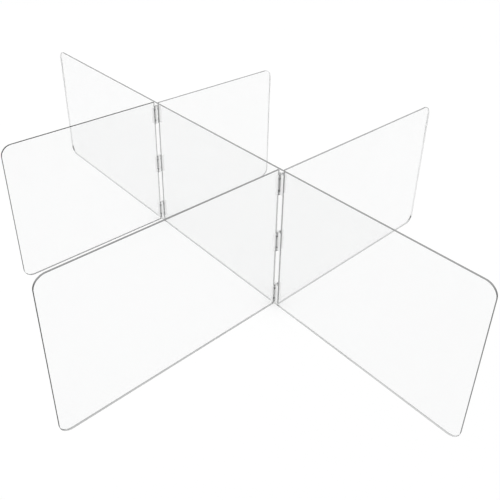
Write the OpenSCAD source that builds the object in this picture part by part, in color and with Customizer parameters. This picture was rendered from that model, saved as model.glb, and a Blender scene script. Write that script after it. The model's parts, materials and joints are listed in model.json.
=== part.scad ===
// Desk privacy panel for six seats: one long clear sheet with a pair of folding wings at each
// of two crossings. Every wing hangs on three clear knuckle hinges with grey pins.
//
// Origin: middle of the long panel's bottom edge. +X runs along the long panel to its near
// end, -Y is the left side and +Y the right side, +Z is up.

/* [Sheets] */
// Thickness of every sheet
sheet_t = 5; // [4:0.5:6]
// Height of every sheet
panel_h = 406; // [300:2:500]
// Spacing of the two crossings along the long panel
mid_bay = 520; // [480:2:700]
// Run of the long panel from the front crossing to its near end
near_bay = 540; // [400:2:700]
// Run of the long panel from the rear crossing to its far end
far_bay = 610; // [400:2:700]
// Length of each front wing
front_wing_len = 600; // [400:2:640]
// Length of each rear wing
rear_wing_len = 450; // [300:1:460]
// Radius of the free corners
corner_r = 28; // [10:1:40]
// Radius of the corners on a wing's hinged edge
heel_r = 1.5; // [1:0.5:6]
// Gap between a wing's hinged edge and the long panel's face
heel_gap = 0.8; // [0.8:0.1:1.5]

/* [Hinges] */
// Height of one hinge
hinge_h = 55; // [40:1:70]
// From the top or bottom edge of a sheet to the middle of the nearest hinge
hinge_inset = 39; // [36:1:60]
// Outside diameter of a knuckle
knuckle_d = 5.2; // [5:0.1:6]
// Height of the first and the last knuckle
end_knuckle_h = 11; // [8:0.5:14]
// Gap between neighbouring knuckles
knuckle_gap = 0.3; // [0.3:0.1:0.6]
// Chamfer round both ends of a knuckle
knuckle_chamfer = 0.6; // [0.3:0.1:0.8]
// Clearance between a knuckle and the sheets beside it
sheet_gap = 0.4; // [0.4:0.1:0.8]
// Thickness of a leaf where it leaves its knuckle
leaf_t = 1.5; // [1.2:0.1:1.6]
// Width of a leaf's bonding pad
pad_w = 6; // [5:0.5:14]
// Radius of the corners of a bonding pad
pad_r = 1.5; // [1:0.5:2.5]
// Diameter of a hinge pin
pin_d = 2.4; // [2:0.1:2.6]
// Radial clearance of a pin in its knuckles
pin_clearance = 0.05; // [0.02:0.01:0.1]
// Diameter of a pin's head
pin_head_d = 4; // [3.4:0.1:4.8]
// Height of a pin's head
pin_head_h = 0.8; // [0.6:0.1:1.2]

/* [Hidden] */
CLEAR_SHEET = [0.80, 0.84, 0.86, 0.45];
CLEAR_HINGE = [0.62, 0.66, 0.68, 0.80];
GREY_PIN = [0.42, 0.43, 0.44];

$fn = 48;

long_panel_len = far_bay + mid_bay + near_bay;
rear_crossing_x = far_bay - long_panel_len / 2;
front_crossing_x = rear_crossing_x + mid_bay;

// Each wing: its name, the middle of its crossing along X, its turn about that crossing and
// its length. A right wing is a left wing turned half round the crossing.
WINGS = [
    ["front_left", front_crossing_x, 0, front_wing_len],
    ["front_right", front_crossing_x, 180, front_wing_len],
    ["rear_left", rear_crossing_x, 0, rear_wing_len],
    ["rear_right", rear_crossing_x, 180, rear_wing_len]
];

// Each hinge on a wing: its name and the height of its middle.
HINGES = [
    ["top", panel_h - hinge_inset],
    ["middle", panel_h / 2],
    ["bottom", hinge_inset]
];

HINGE_PIECES = ["panel_leaf", "wing_leaf", "pin"];

// Distance from the pin's axis to the face that its leaf is bonded to
stand_off = knuckle_d / 2 + sheet_gap;
// Distance from the pin's axis to the middle plane of a bonded sheet
axis_to_sheet = stand_off + sheet_t / 2;
// The bonding pad starts where it clears the knuckles of the other leaf
pad_start = stand_off + 0.2;
pad_t = leaf_t + sheet_gap;
bore_d = pin_d + 2 * pin_clearance;
pin_tip_h = 0.6;
pin_tip_d = pin_d - 0.8;

// Knuckle bands, as heights from the middle of the hinge
END_BANDS = [
    [-hinge_h / 2, -hinge_h / 2 + end_knuckle_h],
    [hinge_h / 2 - end_knuckle_h, hinge_h / 2]
];
MIDDLE_BAND = [[
    -hinge_h / 2 + end_knuckle_h + knuckle_gap,
    hinge_h / 2 - end_knuckle_h - knuckle_gap
]];

// Outline of a sheet: square corners replaced by quarter rounds, r_start at x = 0 and r_end
// at the far end.
module sheet_outline(length, height, r_start, r_end) {
    difference() {
        square([length, height]);
        square([r_start, r_start]);
        translate([0, height - r_start])
            square([r_start, r_start]);
        translate([length - r_end, 0])
            square([r_end, r_end]);
        translate([length - r_end, height - r_end])
            square([r_end, r_end]);
    }
    for (z = [r_start, height - r_start])
        translate([r_start, z])
            circle(r = r_start);
    for (z = [r_end, height - r_end])
        translate([length - r_end, z])
            circle(r = r_end);
}

// A sheet standing on z = 0, running along +X from x = 0, centred on y = 0.
module standing_sheet(length, r_start, r_end) {
    translate([0, sheet_t / 2, 0])
        rotate([90, 0, 0])
            linear_extrude(sheet_t)
                sheet_outline(length, panel_h, r_start, r_end);
}

// A knuckle standing on z = 0, with chamfered ends, and the strap that joins it to its pad
// along +X.
module knuckle(height) {
    end_d = knuckle_d - 2 * knuckle_chamfer;
    straight_h = height - 2 * knuckle_chamfer;
    cylinder(d1 = end_d, d2 = knuckle_d, h = knuckle_chamfer);
    translate([0, 0, knuckle_chamfer]) {
        cylinder(d = knuckle_d, h = straight_h);
        translate([0, knuckle_d / 2 - leaf_t, 0])
            cube([pad_start + pad_r, leaf_t, straight_h]);
    }
    translate([0, 0, height - knuckle_chamfer])
        cylinder(d1 = knuckle_d, d2 = end_d, h = knuckle_chamfer);
}

// One hinge leaf about its own axis: knuckles on z, pad along +X with its bonded face at
// y = stand_off.
module leaf(bands) {
    difference() {
        union() {
            translate([pad_start, stand_off, -hinge_h / 2])
                rotate([90, 0, 0])
                    linear_extrude(pad_t)
                        sheet_outline(pad_w, hinge_h, pad_r, pad_r);
            for (band = bands)
                translate([0, 0, band[0]])
                    knuckle(band[1] - band[0]);
        }
        translate([0, 0, -hinge_h])
            cylinder(d = bore_d, h = 2 * hinge_h);
    }
}

// Places children about a wing's crossing, turned to the wing's own side.
module at_crossing(wing) {
    translate([wing[1], 0, 0])
        rotate([0, 0, wing[2]])
            children();
}

// Places children on a wing's pin axis, at the middle height of one hinge.
module at_hinge(wing, hinge) {
    at_crossing(wing)
        translate([0, -axis_to_sheet, hinge[1]])
            children();
}

module long_panel() {
    color(CLEAR_SHEET)
        translate([-long_panel_len / 2, 0, 0])
            standing_sheet(long_panel_len, corner_r, corner_r);
}

module wing_sheet(wing) {
    color(CLEAR_SHEET)
        at_crossing(wing)
            translate([-axis_to_sheet, -sheet_t / 2 - heel_gap, 0])
                rotate([0, 0, -90])
                    standing_sheet(wing[3], heel_r, corner_r);
}

// The fixed leaf, bonded to the long panel: first and last knuckle.
module panel_leaf(wing, hinge) {
    color(CLEAR_HINGE)
        at_hinge(wing, hinge)
            leaf(END_BANDS);
}

// The moving leaf, bonded to the wing: the long middle knuckle.
module wing_leaf(wing, hinge) {
    color(CLEAR_HINGE)
        at_hinge(wing, hinge)
            rotate([0, 0, -90])
                mirror([0, 1, 0])
                    leaf(MIDDLE_BAND);
}

// A headed pin dropped in from above, its head resting on the first knuckle.
module hinge_pin(wing, hinge) {
    color(GREY_PIN)
        at_hinge(wing, hinge) {
            translate([0, 0, hinge_h / 2])
                cylinder(d = pin_head_d, h = pin_head_h);
            translate([0, 0, -hinge_h / 2 + pin_tip_h])
                cylinder(d = pin_d, h = hinge_h - pin_tip_h);
            translate([0, 0, -hinge_h / 2])
                cylinder(d1 = pin_tip_d, d2 = pin_d, h = pin_tip_h);
        }
}

long_panel();
for (wing = WINGS) {
    wing_sheet(wing);
    for (hinge = HINGES) {
        stem = str(wing[0], "_", hinge[0]);
        panel_leaf(wing, hinge);
        wing_leaf(wing, hinge);
        hinge_pin(wing, hinge);
    }
}
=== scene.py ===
"""Looks of the clear six-seat desk privacy panel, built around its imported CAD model."""

import json
import math

import bmesh
import bpy
from mathutils import Matrix, Vector


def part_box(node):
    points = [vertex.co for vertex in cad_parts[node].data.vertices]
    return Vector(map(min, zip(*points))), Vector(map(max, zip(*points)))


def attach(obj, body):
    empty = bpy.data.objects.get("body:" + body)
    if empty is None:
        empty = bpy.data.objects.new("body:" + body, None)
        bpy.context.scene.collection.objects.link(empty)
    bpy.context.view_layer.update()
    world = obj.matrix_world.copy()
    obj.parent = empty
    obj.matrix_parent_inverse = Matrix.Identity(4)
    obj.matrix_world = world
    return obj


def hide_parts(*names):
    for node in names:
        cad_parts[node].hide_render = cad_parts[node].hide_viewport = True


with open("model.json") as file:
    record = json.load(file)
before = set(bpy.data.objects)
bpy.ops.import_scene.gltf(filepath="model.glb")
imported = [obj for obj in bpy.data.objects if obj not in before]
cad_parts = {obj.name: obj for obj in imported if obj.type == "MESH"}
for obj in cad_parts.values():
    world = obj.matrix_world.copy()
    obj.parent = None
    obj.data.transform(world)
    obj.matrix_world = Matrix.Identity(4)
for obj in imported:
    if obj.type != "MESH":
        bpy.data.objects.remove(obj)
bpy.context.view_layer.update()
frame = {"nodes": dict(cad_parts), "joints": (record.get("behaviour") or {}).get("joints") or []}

MM = 0.001

# Sheets
FREE_CORNER_R = 28 * MM
HEEL_CORNER_R = 1.5 * MM
ARRIS = 0.5 * MM
ARC_STEPS = 14
SHARP_ANGLE = math.radians(25)

WINGS = ("front_left", "front_right", "rear_left", "rear_right")
HINGES = ("top", "middle", "bottom")

# Painted light and shade on each sheet's edges, matched to the photo sheet by sheet: the grey of
# its upright edges and of its level ones, then the mirror of its upright edges and of its level
# ones. The acrylic is the same on every edge. These greys and mirror strengths differ between
# sheets, and between upright and level edges, to paint in light, shade and reflection.
EDGE_PAINTED_LIGHT_AND_SHADE = {
    "long_panel": (0.018, 0.27, 0.77, 0.63),
    "front_left_wing": (0.018, 0.27, 0.24, 0.52),
    "front_right_wing": (0.018, 0.38, 0.82, 0.58),
    "rear_left_wing": (0.018, 0.03, 0.24, 0.40),
    "rear_right_wing": (0.018, 0.27, 0.82, 0.63),
}
# The same painted light and shade for the hinged edge of every wing
HEEL_PAINTED_LIGHT_AND_SHADE = (0.39, 0.27, 0.53, 0.63)

# Hinges
KNUCKLE_R = 2.6 * MM
PIN_AXES = {joint["child"].removesuffix("_wing"): joint["pos_m"] for joint in frame["joints"]}

# Camera
CAMERA_AT = Vector((1.1371, -0.8675, 1.0839))
CAMERA_AIM = Vector((-0.1142, 0.2716, 0.203))
CAMERA_ROLL = math.radians(1.1)
CAMERA_LENS = 42.8
CAMERA_SENSOR = 36.0
CAMERA_REACH = 100.0
CAMERA_RISE = -0.20

# Studio
AIR_STRENGTH = 1.068
OVERHEAD_AT = (0.2, -0.1, 3.2)
OVERHEAD_AIM = (0, 0, 0)
OVERHEAD_WIDTH = 2.6
OVERHEAD_POWER = 2
FLOOR_SIZE = 30.0
FLOOR_LEVEL = -0.4 * MM


# ---------------------------------------------------------------- materials


class Shader:
    """A material's node tree, with short ways to add and join nodes."""

    def __init__(self, name):
        self.material = bpy.data.materials.new(name)
        self.material.use_nodes = True
        self.tree = self.material.node_tree
        self.tree.nodes.clear()
        self.place = self.add("ShaderNodeTexCoord").outputs["Object"]

    def add(self, kind, inputs=(), **settings):
        node = self.tree.nodes.new(kind)
        for key, value in settings.items():
            setattr(node, key, value)
        for key, value in dict(inputs).items():
            self.feed(node.inputs[key], value)
        return node

    def feed(self, socket, value):
        if isinstance(value, bpy.types.NodeSocket):
            self.tree.links.new(value, socket)
        else:
            socket.default_value = value

    def stretched(self, scale):
        """The place on the object in metres, stretched along each axis."""
        return self.add("ShaderNodeMapping", {"Vector": self.place, "Scale": scale}).outputs[0]

    def noise(self, scale, detail, stretch=(1, 1, 1)):
        return self.add("ShaderNodeTexNoise", {
            "Vector": self.stretched(stretch),
            "Scale": scale,
            "Detail": detail,
        }).outputs["Fac"]

    def span(self, value, low, high, start=0.0, end=1.0):
        """value moved from the range start..end to low..high, and clamped."""
        return self.add("ShaderNodeMapRange", {
            "Value": value,
            "From Min": start,
            "From Max": end,
            "To Min": low,
            "To Max": high,
        }).outputs[0]

    def blend_colours(self, share, first, second):
        node = self.add("ShaderNodeMix", data_type="RGBA")
        self.feed(node.inputs[0], share)
        self.feed(node.inputs[6], first)
        self.feed(node.inputs[7], second)
        return node.outputs[2]

    def bump(self, height, distance):
        return self.add("ShaderNodeBump", {"Height": height, "Distance": distance}).outputs[0]

    def grazing(self, head_on, edge_on):
        """A mirror's share of the light: head_on where it is faced, edge_on at a grazing angle."""
        facing = self.add("ShaderNodeLayerWeight", {"Blend": 0.5}).outputs["Facing"]
        steep = self.add("ShaderNodeMath", {0: facing, 1: 5.0}, operation="POWER").outputs[0]
        return self.span(steep, head_on, edge_on)

    def levelness(self):
        """1 on level faces and 0 on upright ones."""
        turned = self.add("ShaderNodeTexCoord").outputs["Normal"]
        up = self.add("ShaderNodeSeparateXYZ", {"Vector": turned}).outputs["Z"]
        size = self.add("ShaderNodeMath", {0: up}, operation="ABSOLUTE").outputs[0]
        return self.span(size, 0.0, 1.0, 0.2, 0.8)

    def mix(self, share, first, second):
        node = self.add("ShaderNodeMixShader", {"Fac": share})
        self.tree.links.new(first, node.inputs[1])
        self.tree.links.new(second, node.inputs[2])
        return node.outputs[0]

    def finish(self, surface):
        output = self.add("ShaderNodeOutputMaterial")
        self.tree.links.new(surface, output.inputs["Surface"])
        return self.material


def grey(level):
    """A grey with the faint cool cast of clear acrylic."""
    return (level, level + 0.001, level + 0.001, 1)


def sheet_face_material():
    """Polished faces of cast acrylic: little but a weak mirror, with faint handling haze."""
    s = Shader("acrylic_face")
    cloud = s.noise(3.0, detail=2.0)
    tint = s.blend_colours(cloud, grey(0.976), grey(0.981))
    clear = s.add("ShaderNodeBsdfTransparent", {"Color": tint})
    wave = s.bump(s.noise(5.0, detail=1.0), 0.0004)
    haze = s.span(s.noise(38.0, detail=4.0), 0.03, 0.09)
    mirror = s.add("ShaderNodeBsdfGlossy", {
        "Color": (0.96, 0.97, 0.97, 1),
        "Roughness": haze,
        "Normal": wave,
    })
    gloss = s.grazing(0.02, 0.20)
    wiped = s.span(s.noise(11.0, detail=5.0, stretch=(1, 1, 0.35)), 0.0, 0.012, 0.55, 0.75)
    dust = s.add("ShaderNodeBsdfDiffuse", {"Color": (0.78, 0.80, 0.81, 1)})
    polished = s.mix(gloss, clear.outputs[0], mirror.outputs[0])
    return s.finish(s.mix(wiped, polished, dust.outputs[0]))


def sheet_edge_material(name, upright, level, upright_mirror, level_mirror):
    """Sawn and buffed edges: a soft grey, and a mirror that takes over at a grazing angle.

    Upright and level edges have a grey each and a mirror each, all of which drift along the edge.
    The split of the grey between upright and level edges is painted light and shade, and the split
    of the mirror's colour is painted reflection.
    """
    s = Shader(name)
    marks = s.noise(260.0, detail=3.0)
    drift = s.noise(9.0, detail=2.0)
    levelness = s.levelness()

    def drifting(on_upright, on_level):
        tones = [
            s.blend_colours(drift, grey(0.9 * tone), grey(1.1 * tone))
            for tone in (on_upright, on_level)
        ]
        return s.blend_colours(levelness, *tones)

    # The grey carries painted shade and painted light, set apart for upright and level edges
    buffed = s.add("ShaderNodeBsdfPrincipled", {
        "Base Color": drifting(upright, level),
        "Roughness": s.span(marks, 0.28, 0.46, 0.3, 0.7),
        "Specular IOR Level": 0.0,
        "Normal": s.bump(marks, 0.00006),
    })
    # The mirror's colour carries painted reflection, set apart for upright and level edges
    inner_mirror = s.add("ShaderNodeBsdfGlossy", {
        "Color": drifting(upright_mirror, level_mirror),
        "Roughness": 0.12,
    })
    share = s.add("ShaderNodeFresnel", {"IOR": 2.0}).outputs[0]
    return s.finish(s.mix(share, buffed.outputs[0], inner_mirror.outputs[0]))


def moulded_plastic(s, flow, colour, roughness):
    """Solid moulded plastic on shader s, with faint lines where it flowed."""
    return s.add("ShaderNodeBsdfPrincipled", {
        "Base Color": colour,
        "Roughness": s.span(flow, roughness * 0.7, roughness * 1.4, 0.3, 0.7),
        "IOR": 1.49,
        "Normal": s.bump(flow, 0.00005),
    }).outputs[0]


def leaf_material(wing):
    """A wing's hinge leaves: clear knuckles with painted shade, dark grey mixed in towards their
    rims and on their ends, and pads milky with adhesive.
    """
    s = Shader(f"clear_leaf_{wing}")
    flow = s.noise(90.0, detail=3.0, stretch=(1, 1, 0.2))
    # Painted shade: dark solid mixed into the clear knuckle by facing angle towards its rims, and
    # on its level ends
    turned = s.add("ShaderNodeLayerWeight", {"Blend": 0.5}).outputs["Facing"]
    side = s.span(turned, 0.02, 0.20, 0.25, 0.95)
    end = s.span(s.levelness(), 0.0, 0.95)
    knuckle_painted_shade = s.add("ShaderNodeMath", {0: side, 1: end}, operation="MAXIMUM").outputs[0]
    axis = Vector(PIN_AXES[wing])
    level_place = s.stretched((1, 1, 0))
    foot = (axis.x, axis.y, 0)
    away = s.add("ShaderNodeVectorMath", {0: level_place, 1: foot}, operation="DISTANCE")
    on_pad = s.span(away.outputs["Value"], 0.0, 1.0, KNUCKLE_R, KNUCKLE_R + ARRIS)
    # The dark grey is painted shade on the knuckles; the milky grey is the pads' own colour
    painted_shade_grey = s.blend_colours(flow, grey(0.05), grey(0.08))
    milky = s.blend_colours(flow, grey(0.83), grey(0.87))
    solid = moulded_plastic(s, flow, s.blend_colours(on_pad, painted_shade_grey, milky), 0.16)
    clear = s.add("ShaderNodeBsdfTransparent", {"Color": grey(0.985)}).outputs[0]
    solid_share = s.add("ShaderNodeMath", {0: knuckle_painted_shade, 1: on_pad}, operation="MAXIMUM").outputs[0]
    return s.finish(s.mix(solid_share, clear, solid))


def pin_material():
    """Satin grey hinge pins."""
    s = Shader("grey_pin")
    flow = s.noise(90.0, detail=3.0, stretch=(1, 1, 0.2))
    return s.finish(moulded_plastic(s, flow, s.blend_colours(flow, grey(0.36), grey(0.46)), 0.3))


def floor_material():
    s = Shader("studio_floor")
    tone = s.blend_colours(s.noise(0.8, detail=2.0), (0.93, 0.93, 0.93, 1), (0.95, 0.95, 0.95, 1))
    paint = s.add("ShaderNodeBsdfDiffuse", {"Color": tone, "Roughness": 0.6})
    return s.finish(paint.outputs[0])


# ---------------------------------------------------------------- sheets


def rounded_outline(length, height, start_r, end_r):
    """Corner arcs of an upright sheet, as (centre, radius, first angle), anticlockwise."""
    return [
        ((start_r, start_r), start_r, math.pi),
        ((length - end_r, end_r), end_r, 1.5 * math.pi),
        ((length - end_r, height - end_r), end_r, 0.0),
        ((start_r, height - start_r), start_r, 0.5 * math.pi),
    ]


def ring_points(corners, inset):
    """The outline drawn in by inset, as points along the sheet's length and height."""
    points = []
    for (x, z), radius, first in corners:
        for step in range(ARC_STEPS + 1):
            angle = first + 0.5 * math.pi * step / ARC_STEPS
            reach = radius - inset
            points.append((x + reach * math.cos(angle), z + reach * math.sin(angle)))
    return points


def sheet_mesh(name, length, height, thickness, start_r, end_r, place):
    """A sheet with eased arrises. Materials: 0 faces, 1 edges, 2 the straight edge at its start."""
    corners = rounded_outline(length, height, start_r, end_r)
    half = thickness / 2
    levels = ((ARRIS, -half), (0.0, -half + ARRIS), (0.0, half - ARRIS), (ARRIS, half))
    bm = bmesh.new()
    rings = []
    for inset, across in levels:
        rings.append([
            bm.verts.new(place @ Vector((along, across, up)))
            for along, up in ring_points(corners, inset)
        ])
    count = len(rings[0])
    heel = count - 1
    for lower, upper in zip(rings, rings[1:]):
        for i in range(count):
            j = (i + 1) % count
            side = bm.faces.new((lower[i], lower[j], upper[j], upper[i]))
            side.material_index = 2 if i == heel else 1
            side.smooth = True
    bm.faces.new(reversed(rings[0]))
    bm.faces.new(rings[-1])
    bmesh.ops.recalc_face_normals(bm, faces=bm.faces)
    for edge in bm.edges:
        edge.smooth = edge.calc_face_angle(0.0) < SHARP_ANGLE
    mesh = bpy.data.meshes.new(name)
    bm.to_mesh(mesh)
    bm.free()
    piece = bpy.data.objects.new(name, mesh)
    bpy.context.scene.collection.objects.link(piece)
    return piece


def make_sheet(node, face, edge, start_edge):
    """The finished sheet that stands for a CAD sheet, made to that node's own box.

    It casts no shadow and tints no diffuse light, so the floor under the clear sheets stays white.
    """
    low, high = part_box(node)
    size = high - low
    middle = (low + high) / 2
    if node == "long_panel":
        start = Vector((low.x, middle.y, low.z))
        turn = 0.0
        length, thickness = size.x, size.y
        start_r = FREE_CORNER_R
    else:
        outward = 1 if middle.y > 0 else -1
        start = Vector((middle.x, low.y if outward > 0 else high.y, low.z))
        turn = outward * math.pi / 2
        length, thickness = size.y, size.x
        start_r = HEEL_CORNER_R
    place = Matrix.Translation(start) @ Matrix.Rotation(turn, 4, "Z")
    piece = sheet_mesh(
        f"{node}_sheet", length, size.z, thickness, start_r, FREE_CORNER_R, place
    )
    for material in (face, edge, start_edge):
        piece.data.materials.append(material)
    piece.visible_shadow = False
    piece.visible_diffuse = False
    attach(piece, node)
    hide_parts(node)


# ---------------------------------------------------------------- hinges


def dress_node(node, material):
    """Gives a CAD node its finished material."""
    mesh = frame["nodes"][node].data
    mesh.materials.clear()
    mesh.materials.append(material)


# ---------------------------------------------------------------- studio


def make_floor():
    mesh = bpy.data.meshes.new("floor")
    bm = bmesh.new()
    bmesh.ops.create_grid(bm, x_segments=4, y_segments=4, size=FLOOR_SIZE)
    bm.to_mesh(mesh)
    bm.free()
    floor = bpy.data.objects.new("floor", mesh)
    floor.location.z = FLOOR_LEVEL
    mesh.materials.append(floor_material())
    bpy.context.scene.collection.objects.link(floor)


def area_light(name, at, aim, width, power):
    data = bpy.data.lights.new(name, "AREA")
    data.shape = "SQUARE"
    data.size = width
    data.energy = power
    light = bpy.data.objects.new(name, data)
    light.location = at
    light.rotation_euler = (Vector(aim) - Vector(at)).to_track_quat("-Z", "Y").to_euler()
    bpy.context.scene.collection.objects.link(light)


def make_lights():
    world = bpy.data.worlds.new("studio_air")
    world.use_nodes = True
    background = world.node_tree.nodes["Background"]
    background.inputs["Color"].default_value = (1, 1, 1, 1)
    background.inputs["Strength"].default_value = AIR_STRENGTH
    bpy.context.scene.world = world
    area_light("overhead", OVERHEAD_AT, OVERHEAD_AIM, OVERHEAD_WIDTH, OVERHEAD_POWER)


def make_camera():
    data = bpy.data.cameras.new("camera")
    data.lens = CAMERA_LENS
    data.sensor_width = CAMERA_SENSOR
    data.shift_y = CAMERA_RISE
    data.clip_end = CAMERA_REACH
    camera = bpy.data.objects.new("camera", data)
    ahead = (CAMERA_AIM - CAMERA_AT).normalized()
    level = ahead.cross(Vector((0, 0, 1))).normalized()
    right = Matrix.Rotation(-CAMERA_ROLL, 3, ahead) @ level
    up = right.cross(ahead)
    turn = Matrix((right, up, -ahead)).transposed().to_4x4()
    camera.matrix_world = Matrix.Translation(CAMERA_AT) @ turn
    bpy.context.scene.collection.objects.link(camera)
    bpy.context.scene.camera = camera


# ---------------------------------------------------------------- build

bpy.context.scene.view_settings.view_transform = "Standard"
make_camera()
make_lights()
make_floor()

face = sheet_face_material()
# The hinged edges carry their own painted light and shade
heel = sheet_edge_material("acrylic_heel", *HEEL_PAINTED_LIGHT_AND_SHADE)
pin = pin_material()

# Each sheet's edges carry their own painted light and shade
for sheet, finish in EDGE_PAINTED_LIGHT_AND_SHADE.items():
    edge = sheet_edge_material(f"acrylic_edge_{sheet}", *finish)
    make_sheet(sheet, face, edge, edge if sheet == "long_panel" else heel)
for wing in WINGS:
    leaf = leaf_material(wing)
    for hinge in HINGES:
        dress_node(f"{wing}_{hinge}_panel_leaf", leaf)
        dress_node(f"{wing}_{hinge}_wing_leaf", leaf)
        dress_node(f"{wing}_{hinge}_pin", pin)
